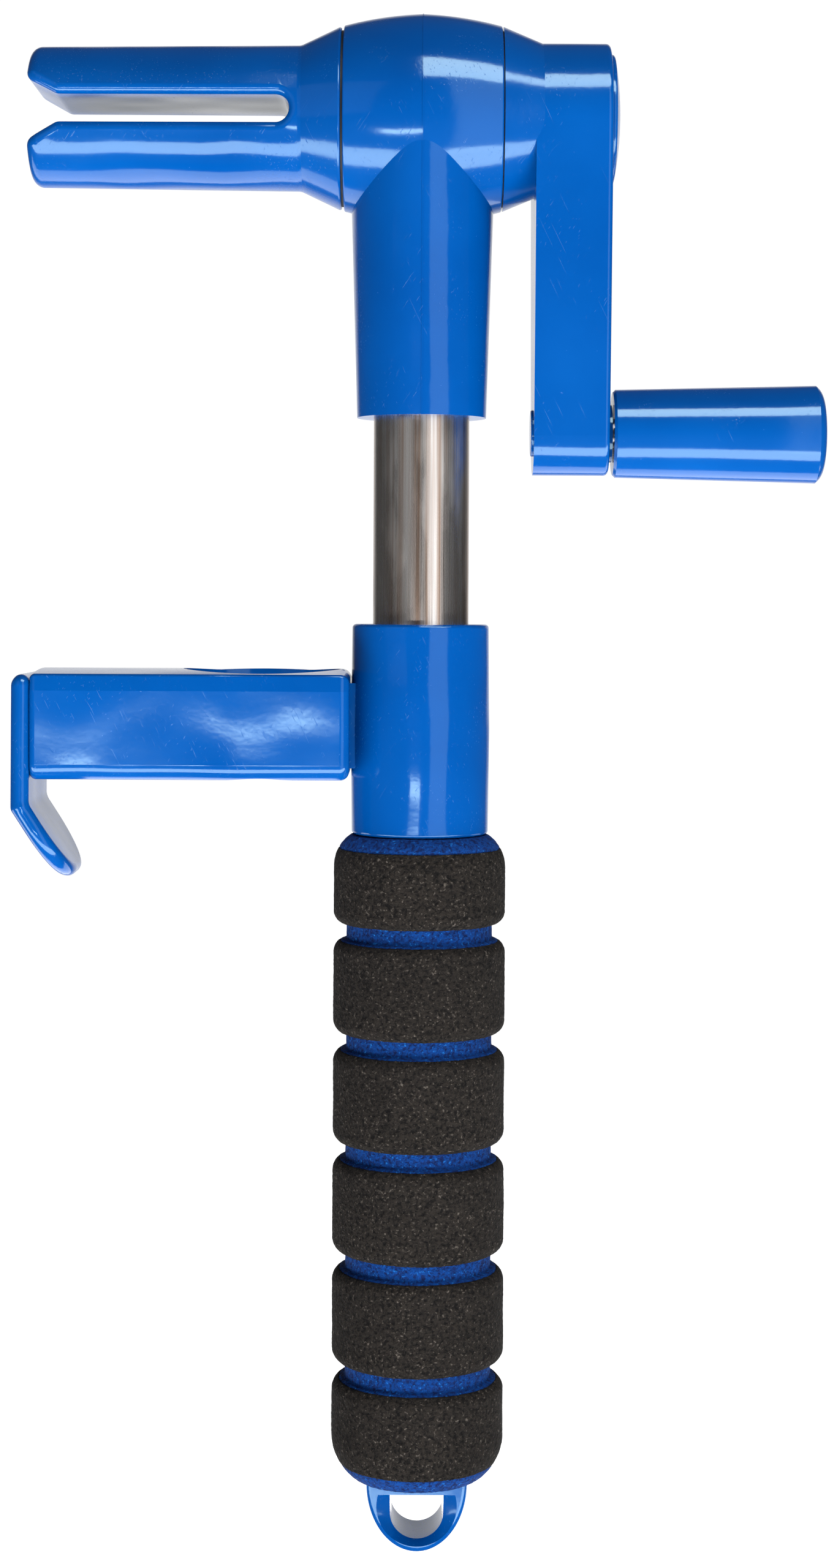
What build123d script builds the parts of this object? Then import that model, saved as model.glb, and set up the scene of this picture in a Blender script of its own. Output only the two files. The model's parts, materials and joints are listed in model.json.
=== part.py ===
from build123d import *
import os
from math import cos, radians, sin, sqrt

# Hand-crank winder on a short pole. Millimetres. Z runs up the pole, X along the crank's
# shaft, and the origin is on the pole's axis, halfway along its bare stretch.

# Pole
pole_radius = 25.4 / 2
pole_wall = 1.2
bare_half_length = 27.4
pole_insert = 50.6  # how far the pole goes up into the tee

# Tee housing: a barrel hub on the shaft's axis over a tapered pole socket
shaft_height = 106.9
hub_half_length = 20.9
hub_end_radius = 24.4
hub_quarter_radius = 26.55
hub_middle_radius = 27.5
socket_foot_radius = 17.15
socket_head_width = 38.8
socket_head_depth = 52.4
socket_head_height = 101.0
hub_edge_fillet = 0.5
bead_height = 0.12  # moulding's parting line
bead_width = 0.35
core_inner_radius = 12.5
core_outer_radius = 20.5
core_depth = 15.0
rib_width = 1.8
rib_count = 6

# Shaft, its bushes and washers
shaft_radius = 5.0
running_clearance = 0.05
bush_radius = 8.0
bush_length = 12.0
flange_radius = 11.0
flange_thickness = 1.2
shaft_chamfer = 0.5
key_width = 3.0
key_height = 3.0
key_start = 24.0
key_end = 36.0

# Winding fork
fork_seam = 0.6
fork_base_radius = 24.3
fork_root_x = -32.3
fork_root_radius = 19.2
fork_tip_x = -103.6
fork_tip_radius = 18.5
fork_root_fillet = 2.5
slot_half_height = 3.6
slot_end_x = -34.9
mouth_start_x = -95.4
mouth_half_height = 8.0
slot_edge_fillet = 1.9
mouth_corner_fillet = 3.0
fork_tip_fillet = 3.0
near = 0.5  # how close to a plane an edge lies to be picked by it
fork_bore_end = -32.5
fork_pin_x = -28.0
fork_pin_radius = 1.5
fork_pin_low = 9.0
fork_pin_high = 19.5

# Crank
crank_seam = 0.3
crank_base_radius = 24.3
crank_hub_radius = 20.0
crank_root_x = 31.6
arm_inner_x = 29.5
arm_outer_x = 49.5
knob_height = 23.5
arm_end_radius = 11.2
arm_edge_fillet = 1.2
seam_washer_inset = 1.2  # how far the washers in the seams stay inside the hub's rim
shaft_end_x = 39.5
crank_pocket_radius = 9.0
crank_pocket_x = 40.5
neck_radius = 7.7
neck_end_x = 50.4

# Crank's screw, washer and cap
screw_washer_thickness = 1.2
screw_washer_radius = 8.0
crank_screw_radius = 2.5
crank_screw_head_radius = 4.3
crank_screw_head = 3.4
crank_screw_end_x = 22.0
hex_socket_radius = 2.3
hex_socket_depth = 2.0
cap_radius = 17.2
cap_rim_x = 50.6
cap_centre_x = 52.3
cap_edge_fillet = 0.8
cap_spigot_depth = 3.0

# Knob and its axle
knob_start_x = 50.7
knob_start_radius = 11.7
knob_rim_x = 104.6
knob_rim_radius = 13.0
knob_shoulder_x = 106.15
knob_shoulder_radius = 11.1
knob_face_x = 106.6
knob_face_radius = 8.7
knob_start_chamfer = 0.7
knob_pocket_radius = 8.0
knob_pocket_x = 96.4
knob_cap_seat_x = 103.3
knob_cap_centre_x = 107.0
spindle_radius = 4.0
spindle_clearance = 0.06
spindle_thread_radius = 3.0
spindle_start_x = 30.5
spindle_head_x = 97.7
spindle_head_end_x = 101.2
spindle_head_radius = 6.2
knob_washer_radius = 7.6
knob_washer_thickness = 1.0
nut_radius = 6.2
nut_seat_x = 33.0
nut_face_x = 28.9
nut_edge_fillet = 0.4

# Guide arm: collar on the pole, box arm with the eye, ribbed pocket at the far end
collar_end_radius = 18.1
collar_middle_radius = 18.4
collar_bottom = -83.1
collar_edge_fillet = 1.0
arm_left_x = -101.6
arm_right_x = -18.5
arm_top = -40.6
arm_crown = 1.2
arm_top_half_depth = 18.9
arm_parting = -44.9
arm_half_depth = 19.6
arm_low_half_depth = 19.1
arm_bottom = -68.2
arm_bottom_fillet = 4.2
arm_top_fillet = 0.9
arm_end_fillet = 1.6
arm_root_fillet = 2.4
arm_neck_half_width = 6.5
arm_neck_top = -43.0
arm_neck_bottom = -65.5
eye_x = -42.0
eye_half_length = 21.0
eye_half_depth = 17.0
rim_rise = 0.8
rim_start_depth = 8.0
pocket_left_x = -98.0
pocket_right_x = -66.0
pocket_half_depth = 15.0
pocket_roof = -44.8
pocket_rib = 2.0
pocket_corner = 1.5
boss_radius = 4.0
boss_end_x = -86.0

# Hook plate on the arm's end
hook_outer_x = -106.5
hook_top = -40.5
hook_bend = -75.3
hook_bend_angle = 33.0
hook_tip = -95.6
hook_half_depth = 20.0
hook_top_fillet = 3.4
hook_top_corner = 3.0
hook_tip_corner = 16.0
hook_edge_fillet = 2.2
hook_inner_bend = 4.0

# Small screws: hook, tee and collar
hook_screw_height = -54.0
hook_screw_spread = 11.0
screw_head_radius = 3.3
screw_head = 1.8
screw_recess = 1.9
screw_recess_radius = 3.7
hook_shank_radius = 1.5
hook_shank_length = 16.0
tee_screw_height = 45.0
tee_screw_seat = 17.0
collar_screw_height = -55.2
collar_screw_seat = 16.3
pole_shank_radius = 1.6
pole_shank_end = 10.2
cross_length = 3.6
cross_width = 0.9
cross_depth = 1.0

# Foam grip: sleeve and bands
grip_top = -83.3
grip_bottom = -253.3
grip_radius = 22.75
foam_joint_radius = 20.9
top_joint_radius = 21.6
bottom_joint_radius = 20.4
groove_radius = 19.3
groove_width = 4.0
groove_first = -108.9
groove_pitch = 29.0
band_count = 6
top_shoulder_radius = 18.2
top_shoulder_length = 8.5
bottom_shoulder_radius = 17.0
bottom_shoulder_length = 11.0

# End plug and hanging loop
plug_shank_top = -230.0
plug_shank_chamfer = 1.0
flange_rim_radius = 13.3
flange_bottom = -254.3
loop_half_width = 13.3
loop_tip = -271.2
loop_half_depth = 10.0
loop_edge_fillet = 1.4
loop_bevel_depth = 2.7
loop_bevel_half_width = 10.2
loop_bevel_bottom = -269.6
loop_eye_radius = 7.05
loop_eye_top = -256.0
loop_eye_bottom = -268.3
plug_pin_height = -243.0
plug_pin_radius = 1.5
plug_pin_half_length = 12.5

os.makedirs("parts", exist_ok=True)
shaft_axis = Axis((0, 0, shaft_height), (1, 0, 0))
knob_axis = Axis((0, 0, knob_height), (1, 0, 0))


def save(name, builder):
    # Labels the finished piece and writes it as its own STEP file.
    builder.part.label = name
    export_step(builder.part, f"parts/{name}.step")


def facing_x(x, height, side=1):
    # Plane across X at this height, its normal along +X or -X.
    return Plane(origin=(x, 0, height), x_dir=(0, 1, 0), z_dir=(side, 0, 0))


def facing_back(depth, height):
    # Plane whose normal points away from the front, along +Y.
    return Plane(origin=(0, depth, height), x_dir=(1, 0, 0), z_dir=(0, 1, 0))


def dome_arc(rim_x, crown_x, radius, height):
    # Three points of a shallow spherical arc, from the rim to the crown on the axis.
    rise = crown_x - rim_x
    sphere = (radius**2 + rise**2) / (2 * rise)
    sag = sphere - sqrt(sphere**2 - (radius / 2) ** 2)
    return (rim_x, height + radius), (crown_x - sag, height + radius / 2), (crown_x, height)


def ring_along_x(start, end, outer_radius, inner_radius=0, height=shaft_height):
    # Washer, bush or disc turned about a line along X.
    with BuildPart() as ring:
        with BuildSketch(facing_x(start, height)):
            Circle(outer_radius)
            if inner_radius > 0:
                Circle(inner_radius, mode=Mode.SUBTRACT)
        extrude(amount=end - start)
    return ring


def pan_screw(seats, shank_radius, shank_length):
    # Pan-head screws with a cross recess, heads standing on their seat planes.
    tops = [seat.offset(screw_head) for seat in seats]
    with BuildPart() as screws:
        with BuildSketch(*seats):
            Circle(screw_head_radius)
        extrude(amount=screw_head)
        with BuildSketch(*seats):
            Circle(shank_radius)
        extrude(amount=-shank_length)
        with BuildSketch(*tops):
            Rectangle(cross_length, cross_width)
            Rectangle(cross_width, cross_length)
        extrude(amount=-cross_depth, mode=Mode.SUBTRACT)
    return screws


# Tee housing

def tee_outside(growth):
    # The tee's outer shape, each surface standing out by growth.
    with BuildPart() as shape:
        with BuildSketch(Plane.XY.offset(bare_half_length)):
            Circle(socket_foot_radius + growth)
        with BuildSketch(Plane.XY.offset(socket_head_height)):
            Ellipse(socket_head_width / 2 + growth, socket_head_depth / 2 + growth)
        loft()
        with BuildSketch(Plane.XZ):
            with BuildLine():
                end_z = shaft_height + hub_end_radius + growth
                quarter_z = shaft_height + hub_quarter_radius + growth
                middle = (0, shaft_height + hub_middle_radius + growth)
                left = ThreePointArc((-hub_half_length, end_z), (-hub_half_length / 2, quarter_z), middle)
                right = ThreePointArc(middle, (hub_half_length / 2, quarter_z), (hub_half_length, end_z))
                Polyline(
                    right @ 1,
                    (hub_half_length, shaft_height),
                    (-hub_half_length, shaft_height),
                    left @ 0,
                )
            make_face()
        revolve(axis=shaft_axis)
    return shape.part


bead_slab = Pos(0, 0, shaft_height / 2) * Box(bead_width, 4 * hub_middle_radius, 2 * shaft_height)
tee_bead = tee_outside(bead_height) & bead_slab

with BuildPart() as tee_housing:
    add(tee_outside(0))
    ends = tee_housing.faces().filter_by(Axis.X)
    fillet(ends.edges().filter_by(GeomType.CIRCLE), hub_edge_fillet)
    add(tee_bead)
    with Locations(Plane.XY.offset(bare_half_length).rotated((180, 0, 0))):
        Hole(pole_radius, depth=pole_insert)
    with Locations(facing_x(hub_half_length, shaft_height)):
        Hole(bush_radius, depth=2 * hub_half_length)
    for side in (-1, 1):
        with BuildSketch(facing_x(side * hub_half_length, shaft_height, side)):
            Circle(flange_radius)
        extrude(amount=-flange_thickness, mode=Mode.SUBTRACT)
        with BuildSketch(facing_x(side * hub_half_length, shaft_height, side)):
            Circle(core_outer_radius)
            with PolarLocations(core_outer_radius / 2, rib_count):
                Rectangle(core_outer_radius, rib_width, mode=Mode.SUBTRACT)
            Circle(core_inner_radius, mode=Mode.SUBTRACT)
        extrude(amount=-core_depth, mode=Mode.SUBTRACT)
    with Locations(facing_back(tee_screw_seat, tee_screw_height)):
        Hole(pole_shank_radius, depth=tee_screw_seat - pole_radius + 1)
    with BuildSketch(facing_back(tee_screw_seat, tee_screw_height)):
        Circle(screw_recess_radius)
    extrude(amount=hub_middle_radius, mode=Mode.SUBTRACT)
save("tee_housing", tee_housing)

# Pole

with BuildPart() as pole_tube:
    with BuildSketch(Plane.XY.offset(grip_bottom)):
        Circle(pole_radius)
        Circle(pole_radius - pole_wall, mode=Mode.SUBTRACT)
    extrude(amount=bare_half_length + pole_insert - grip_bottom)
    for screw_height in (tee_screw_height, collar_screw_height):
        with Locations(facing_back(pole_radius + 1, screw_height)):
            Hole(pole_shank_radius, depth=pole_radius)
    with Locations(facing_x(pole_radius + 1, plug_pin_height)):
        Hole(plug_pin_radius, depth=2 * pole_radius + 2)
save("pole_tube", pole_tube)

# Screws that hold the tee and the collar on the pole, from behind

tee_screw = pan_screw(
    [facing_back(tee_screw_seat, tee_screw_height)], pole_shank_radius, tee_screw_seat - pole_shank_end
)
save("tee_screw", tee_screw)

collar_screw = pan_screw(
    [facing_back(collar_screw_seat, collar_screw_height)],
    pole_shank_radius,
    collar_screw_seat - pole_shank_end,
)
save("collar_screw", collar_screw)

# Flanged bushes in the hub, one at each end

for name, side in (("bush_fork_side", -1), ("bush_crank_side", 1)):
    with BuildPart() as bush:
        with BuildSketch(facing_x(side * hub_half_length, shaft_height, side)):
            Circle(bush_radius)
        extrude(amount=-bush_length)
        with BuildSketch(facing_x(side * hub_half_length, shaft_height, side)):
            Circle(flange_radius)
        extrude(amount=-flange_thickness)
        with Locations(facing_x(side * hub_half_length, shaft_height, side)):
            Hole(shaft_radius + running_clearance, depth=bush_length)
    save(name, bush)

# Thrust washers between the hub and the turning pieces

fork_face_x = -hub_half_length - fork_seam
crank_face_x = hub_half_length + crank_seam
washer_bore = shaft_radius + 2 * running_clearance
washer_rim = hub_end_radius - seam_washer_inset

thrust_washer_fork_side = ring_along_x(
    fork_face_x + running_clearance, -hub_half_length, washer_rim, washer_bore
)
save("thrust_washer_fork_side", thrust_washer_fork_side)

thrust_washer_crank_side = ring_along_x(
    hub_half_length, crank_face_x - running_clearance, washer_rim, washer_bore
)
save("thrust_washer_crank_side", thrust_washer_crank_side)

# Drive shaft, with a keyway for the crank, a cross hole for the fork and a tapped end

with BuildPart() as drive_shaft:
    with BuildSketch(facing_x(fork_bore_end, shaft_height)):
        Circle(shaft_radius)
    extrude(amount=shaft_end_x - fork_bore_end)
    chamfer(drive_shaft.edges().filter_by(GeomType.CIRCLE), shaft_chamfer)
    with Locations(((key_start + key_end) / 2, 0, shaft_height + shaft_radius)):
        Box(key_end - key_start, key_width, key_height, mode=Mode.SUBTRACT)
    with Locations((fork_pin_x, 0, shaft_height)):
        Cylinder(fork_pin_radius, 2 * shaft_radius + 1, mode=Mode.SUBTRACT)
    with Locations(facing_x(shaft_end_x, shaft_height)):
        Hole(crank_screw_radius, depth=shaft_end_x - crank_screw_end_x)
save("drive_shaft", drive_shaft)

with BuildPart() as shaft_key:
    with Locations(((key_start + key_end) / 2, 0, shaft_height + shaft_radius)):
        Box(key_end - key_start, key_width, key_height)
save("shaft_key", shaft_key)

# Winding fork: cone on the hub's side, then two prongs with a slot between them

with BuildPart() as winding_fork:
    with BuildSketch(Plane.XZ):
        with BuildLine():
            Polyline(
                (fork_face_x, shaft_height),
                (fork_face_x, shaft_height + fork_base_radius),
                (fork_root_x, shaft_height + fork_root_radius),
                (fork_tip_x, shaft_height + fork_tip_radius),
                (fork_tip_x, shaft_height),
                close=True,
            )
        make_face()
    revolve(axis=shaft_axis)
    rims = winding_fork.edges().filter_by(GeomType.CIRCLE).sort_by(Axis.X)
    fillet(rims[1], fork_root_fillet)
    fillet(winding_fork.edges().filter_by(GeomType.CIRCLE).sort_by(Axis.X)[-1], hub_edge_fillet)
    with BuildSketch(Plane.XZ):
        beyond = fork_tip_x - 1
        slope = (mouth_half_height - slot_half_height) / (mouth_start_x - fork_tip_x)
        mouth_edge = mouth_half_height + slope
        with BuildLine():
            low = Polyline(
                (beyond, shaft_height - mouth_edge),
                (mouth_start_x, shaft_height - slot_half_height),
                (slot_end_x - slot_half_height, shaft_height - slot_half_height),
            )
            high = Polyline(
                (beyond, shaft_height + mouth_edge),
                (mouth_start_x, shaft_height + slot_half_height),
                (slot_end_x - slot_half_height, shaft_height + slot_half_height),
            )
            ThreePointArc(low @ 1, (slot_end_x, shaft_height), high @ 1)
            Line(low @ 0, high @ 0)
        make_face()
    extrude(amount=2 * fork_root_radius, both=True, mode=Mode.SUBTRACT)
    mouth_edges = winding_fork.edges().filter_by(Axis.Y)
    fillet(
        mouth_edges.filter_by_position(Axis.X, mouth_start_x - near, mouth_start_x + near),
        mouth_corner_fillet,
    )
    tip_faces = winding_fork.faces().filter_by(Axis.X).sort_by(Axis.X)[:2]
    fillet(tip_faces.edges(), fork_tip_fillet)
    slot_rims = [
        edge
        for edge in winding_fork.edges().filter_by_position(Axis.X, fork_tip_x + near, slot_end_x + near)
        if edge.geom_type != GeomType.LINE
        and abs(edge.center().Y) > fork_tip_radius / 2
        and abs(edge.center().Z - shaft_height) < fork_tip_radius / 2
    ]
    fillet(slot_rims, slot_edge_fillet)
    with Locations(facing_x(fork_face_x, shaft_height)):
        Hole(shaft_radius, depth=fork_face_x - fork_bore_end)
    with Locations(Plane.XY.offset(shaft_height + fork_base_radius)):
        with Locations((fork_pin_x, 0)):
            Hole(fork_pin_radius, depth=fork_base_radius + fork_pin_low)
save("winding_fork", winding_fork)

with BuildPart() as fork_pin:
    with Locations((fork_pin_x, 0, shaft_height + (fork_pin_high - fork_pin_low) / 2)):
        Cylinder(fork_pin_radius, fork_pin_high + fork_pin_low)
save("fork_pin", fork_pin)

# Crank: cone and hub on the shaft, flat tapering arm, neck for the knob

with BuildPart() as crank_arm:
    with BuildSketch(Plane.XZ):
        with BuildLine():
            Polyline(
                (crank_face_x, shaft_height),
                (crank_face_x, shaft_height + crank_base_radius),
                (crank_root_x, shaft_height + crank_hub_radius),
                (arm_outer_x, shaft_height + crank_hub_radius),
                (arm_outer_x, shaft_height),
                close=True,
            )
        make_face()
    revolve(axis=shaft_axis)
    with BuildSketch(Plane.YZ.offset(arm_inner_x)):
        with Locations((0, shaft_height)):
            Circle(crank_hub_radius)
        with Locations((0, knob_height)):
            Circle(arm_end_radius)
        make_hull()
    extrude(amount=arm_outer_x - arm_inner_x)
    outer_face = crank_arm.faces().filter_by(Axis.X).sort_by(Axis.X)[-1]
    fillet(outer_face.edges(), arm_edge_fillet)
    with BuildSketch(facing_x(arm_outer_x, knob_height)):
        Circle(neck_radius)
    extrude(amount=neck_end_x - arm_outer_x)
    with Locations(facing_x(crank_face_x, shaft_height, -1)):
        Hole(shaft_radius, depth=arm_outer_x - crank_face_x)
    with BuildSketch(facing_x(crank_pocket_x, shaft_height)):
        Circle(crank_pocket_radius)
    extrude(amount=arm_outer_x - crank_pocket_x, mode=Mode.SUBTRACT)
    with Locations(((key_start + key_end) / 2, 0, shaft_height + shaft_radius)):
        Box(key_end - key_start, key_width, key_height, mode=Mode.SUBTRACT)
    with Locations(facing_x(neck_end_x, knob_height)):
        Hole(spindle_thread_radius, depth=neck_end_x - arm_inner_x)
    with BuildSketch(facing_x(arm_inner_x, knob_height)):
        Circle(nut_radius)
    extrude(amount=nut_seat_x - arm_inner_x, mode=Mode.SUBTRACT)
save("crank_arm", crank_arm)

# Washer, screw and cap in the crank's hub

crank_washer = ring_along_x(
    crank_pocket_x, crank_pocket_x + screw_washer_thickness, screw_washer_radius, crank_screw_radius
)
save("crank_washer", crank_washer)

with BuildPart() as crank_screw:
    head_x = crank_pocket_x + screw_washer_thickness
    with BuildSketch(facing_x(crank_screw_end_x, shaft_height)):
        Circle(crank_screw_radius)
    extrude(amount=head_x - crank_screw_end_x)
    with BuildSketch(facing_x(head_x, shaft_height)):
        Circle(crank_screw_head_radius)
    extrude(amount=crank_screw_head)
    with BuildSketch(facing_x(head_x + crank_screw_head, shaft_height)):
        RegularPolygon(hex_socket_radius, 6)
    extrude(amount=-hex_socket_depth, mode=Mode.SUBTRACT)
save("crank_screw", crank_screw)

with BuildPart() as crank_cap:
    with BuildSketch(Plane.XZ):
        with BuildLine():
            dome = ThreePointArc(*dome_arc(cap_rim_x, cap_centre_x, cap_radius, shaft_height))
            Polyline(
                dome @ 1,
                (arm_outer_x, shaft_height),
                (arm_outer_x, shaft_height + cap_radius),
                dome @ 0,
            )
        make_face()
    revolve(axis=shaft_axis)
    cap_edges = crank_cap.edges().filter_by(GeomType.CIRCLE)
    fillet(cap_edges.filter_by_position(Axis.X, cap_rim_x - near, cap_rim_x + near), cap_edge_fillet)
    with BuildSketch(facing_x(arm_outer_x, shaft_height)):
        Circle(crank_pocket_radius)
    extrude(amount=-cap_spigot_depth)
save("crank_cap", crank_cap)

# Knob's axle: spindle, the nut behind the arm and the washer under the spindle's head

with BuildPart() as knob_spindle:
    with BuildSketch(facing_x(spindle_start_x, knob_height)):
        Circle(spindle_thread_radius)
    extrude(amount=neck_end_x - spindle_start_x)
    with BuildSketch(facing_x(neck_end_x, knob_height)):
        Circle(spindle_radius)
    extrude(amount=spindle_head_x - neck_end_x)
    with BuildSketch(facing_x(spindle_head_x, knob_height)):
        Circle(spindle_head_radius)
    extrude(amount=spindle_head_end_x - spindle_head_x)
    with BuildSketch(facing_x(spindle_head_end_x, knob_height)):
        RegularPolygon(hex_socket_radius, 6)
    extrude(amount=-hex_socket_depth, mode=Mode.SUBTRACT)
save("knob_spindle", knob_spindle)

with BuildPart() as spindle_nut:
    with BuildSketch(facing_x(nut_face_x, knob_height)):
        Circle(nut_radius)
    extrude(amount=nut_seat_x - nut_face_x)
    fillet(spindle_nut.edges().filter_by(GeomType.CIRCLE).sort_by(Axis.X)[0], nut_edge_fillet)
    with Locations(facing_x(nut_seat_x, knob_height)):
        Hole(spindle_thread_radius, depth=nut_seat_x - spindle_start_x)
save("spindle_nut", spindle_nut)

knob_washer = ring_along_x(
    spindle_head_x - knob_washer_thickness, spindle_head_x, knob_washer_radius, spindle_radius, knob_height
)
save("knob_washer", knob_washer)

# Knob and the domed cap over its pocket

with BuildPart() as crank_knob:
    with BuildSketch(Plane.XZ):
        with BuildLine():
            end = ThreePointArc(
                (knob_rim_x, knob_height + knob_rim_radius),
                (knob_shoulder_x, knob_height + knob_shoulder_radius),
                (knob_face_x, knob_height + knob_face_radius),
            )
            Polyline(
                end @ 1,
                (knob_face_x, knob_height),
                (knob_start_x, knob_height),
                (knob_start_x, knob_height + knob_start_radius - knob_start_chamfer),
                (knob_start_x + knob_start_chamfer, knob_height + knob_start_radius),
                end @ 0,
            )
        make_face()
    revolve(axis=knob_axis)
    with Locations(facing_x(knob_face_x, knob_height)):
        Hole(spindle_radius + spindle_clearance, depth=knob_face_x - knob_start_x)
    with BuildSketch(facing_x(knob_pocket_x, knob_height)):
        Circle(knob_pocket_radius)
    extrude(amount=knob_face_x - knob_pocket_x, mode=Mode.SUBTRACT)
    with BuildSketch(facing_x(knob_cap_seat_x, knob_height)):
        Circle(knob_face_radius)
    extrude(amount=knob_face_x - knob_cap_seat_x, mode=Mode.SUBTRACT)
save("crank_knob", crank_knob)

with BuildPart() as knob_cap:
    with BuildSketch(Plane.XZ):
        with BuildLine():
            dome = ThreePointArc(*dome_arc(knob_face_x, knob_cap_centre_x, knob_face_radius, knob_height))
            Polyline(
                dome @ 1,
                (knob_cap_seat_x, knob_height),
                (knob_cap_seat_x, knob_height + knob_face_radius),
                dome @ 0,
            )
        make_face()
    revolve(axis=knob_axis)
save("knob_cap", knob_cap)

# Guide arm and collar, one moulding

hook_screw_seats = [
    Plane(
        origin=(hook_outer_x + screw_recess, spread, hook_screw_height),
        x_dir=(0, 1, 0),
        z_dir=(-1, 0, 0),
    )
    for spread in (-hook_screw_spread, hook_screw_spread)
]

with BuildPart() as guide_arm:
    with BuildSketch(Plane.YZ.offset(arm_left_x)) as arm_section:
        with BuildLine():
            crown = ThreePointArc(
                (-arm_top_half_depth, arm_top), (0, arm_top + arm_crown), (arm_top_half_depth, arm_top)
            )
            Polyline(
                crown @ 1,
                (arm_half_depth, arm_parting),
                (arm_low_half_depth, arm_bottom),
                (-arm_low_half_depth, arm_bottom),
                (-arm_half_depth, arm_parting),
                crown @ 0,
            )
        make_face()
        fillet(arm_section.vertices().group_by(Axis.Y)[0], arm_bottom_fillet)
        fillet(arm_section.vertices().group_by(Axis.Y)[-1], arm_top_fillet)
    extrude(amount=arm_right_x - arm_left_x)
    fillet(guide_arm.faces().filter_by(Axis.X).sort_by(Axis.X)[-1].edges(), arm_root_fillet)
    fillet(guide_arm.faces().filter_by(Axis.X).sort_by(Axis.X)[0].edges(), arm_end_fillet)
    with BuildSketch(Plane((eye_x, rim_start_depth, arm_top), x_dir=(1, 0, 0), z_dir=(0, -1, 0))):
        with BuildLine():
            arch = ThreePointArc((-eye_half_length, 0), (0, rim_rise), (eye_half_length, 0))
            Polyline(arch @ 1, (eye_half_length, -rim_rise), (-eye_half_length, -rim_rise), arch @ 0)
        make_face()
    extrude(amount=-(arm_top_half_depth - rim_start_depth))
    neck_middle = (arm_neck_top + arm_neck_bottom) / 2
    with Locations((arm_right_x / 2, 0, neck_middle)):
        Box(-arm_right_x + 2, 2 * arm_neck_half_width, arm_neck_top - arm_neck_bottom)
    with BuildSketch(Plane.XZ):
        with BuildLine():
            collar_middle = (collar_bottom - bare_half_length) / 2
            Polyline(
                (0, -bare_half_length),
                (collar_end_radius, -bare_half_length),
                (collar_middle_radius, collar_middle),
                (collar_end_radius, collar_bottom),
                (0, collar_bottom),
                close=True,
            )
        make_face()
    revolve(axis=Axis.Z)
    for collar_end in (0, -1):
        level_faces = guide_arm.faces().filter_by(Axis.Z).sort_by(Axis.Z)
        fillet(level_faces[collar_end].edges(), collar_edge_fillet)
    with BuildSketch(Plane.XY.offset(arm_bottom - 1)):
        with Locations((eye_x, 0)):
            Ellipse(eye_half_length, eye_half_depth)
    extrude(amount=arm_top - arm_bottom + 2 + rim_rise, mode=Mode.SUBTRACT)
    with BuildSketch(Plane.XY.offset(arm_bottom)):
        with Locations(((pocket_left_x + pocket_right_x) / 2, 0)):
            RectangleRounded(pocket_right_x - pocket_left_x, 2 * pocket_half_depth, pocket_corner)
            Rectangle(pocket_right_x - pocket_left_x, pocket_rib, mode=Mode.SUBTRACT)
            Rectangle(pocket_rib, 2 * pocket_half_depth, mode=Mode.SUBTRACT)
    extrude(amount=pocket_roof - arm_bottom, mode=Mode.SUBTRACT)
    for spread in (-hook_screw_spread, hook_screw_spread):
        with BuildSketch(Plane(origin=(boss_end_x, spread, hook_screw_height), z_dir=(-1, 0, 0))):
            Circle(boss_radius)
        extrude(amount=boss_end_x - pocket_left_x)
    with Locations(*hook_screw_seats):
        Hole(hook_shank_radius, depth=hook_shank_length)
    with Locations(Plane.XY.offset(-bare_half_length)):
        Hole(pole_radius, depth=-bare_half_length - collar_bottom)
    with Locations(facing_back(collar_screw_seat, collar_screw_height)):
        Hole(pole_shank_radius, depth=collar_screw_seat - pole_radius + 1)
    with BuildSketch(facing_back(collar_screw_seat, collar_screw_height)):
        Circle(screw_recess_radius)
    extrude(amount=collar_middle_radius, mode=Mode.SUBTRACT)
save("guide_arm", guide_arm)

# Hook plate: flat against the arm's end, with a rounded tongue leaning inward below it

hook_thickness = arm_left_x - hook_outer_x
hook_middle_x = (arm_left_x + hook_outer_x) / 2
lean_x = sin(radians(hook_bend_angle))
lean_z = cos(radians(hook_bend_angle))
tongue_length = (hook_bend - hook_tip - hook_thickness / 2 * lean_x) / lean_z
tongue_plane = Plane(
    origin=(hook_middle_x, 0, hook_bend), x_dir=(0, 1, 0), z_dir=(-lean_z, 0, -lean_x)
)

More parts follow.
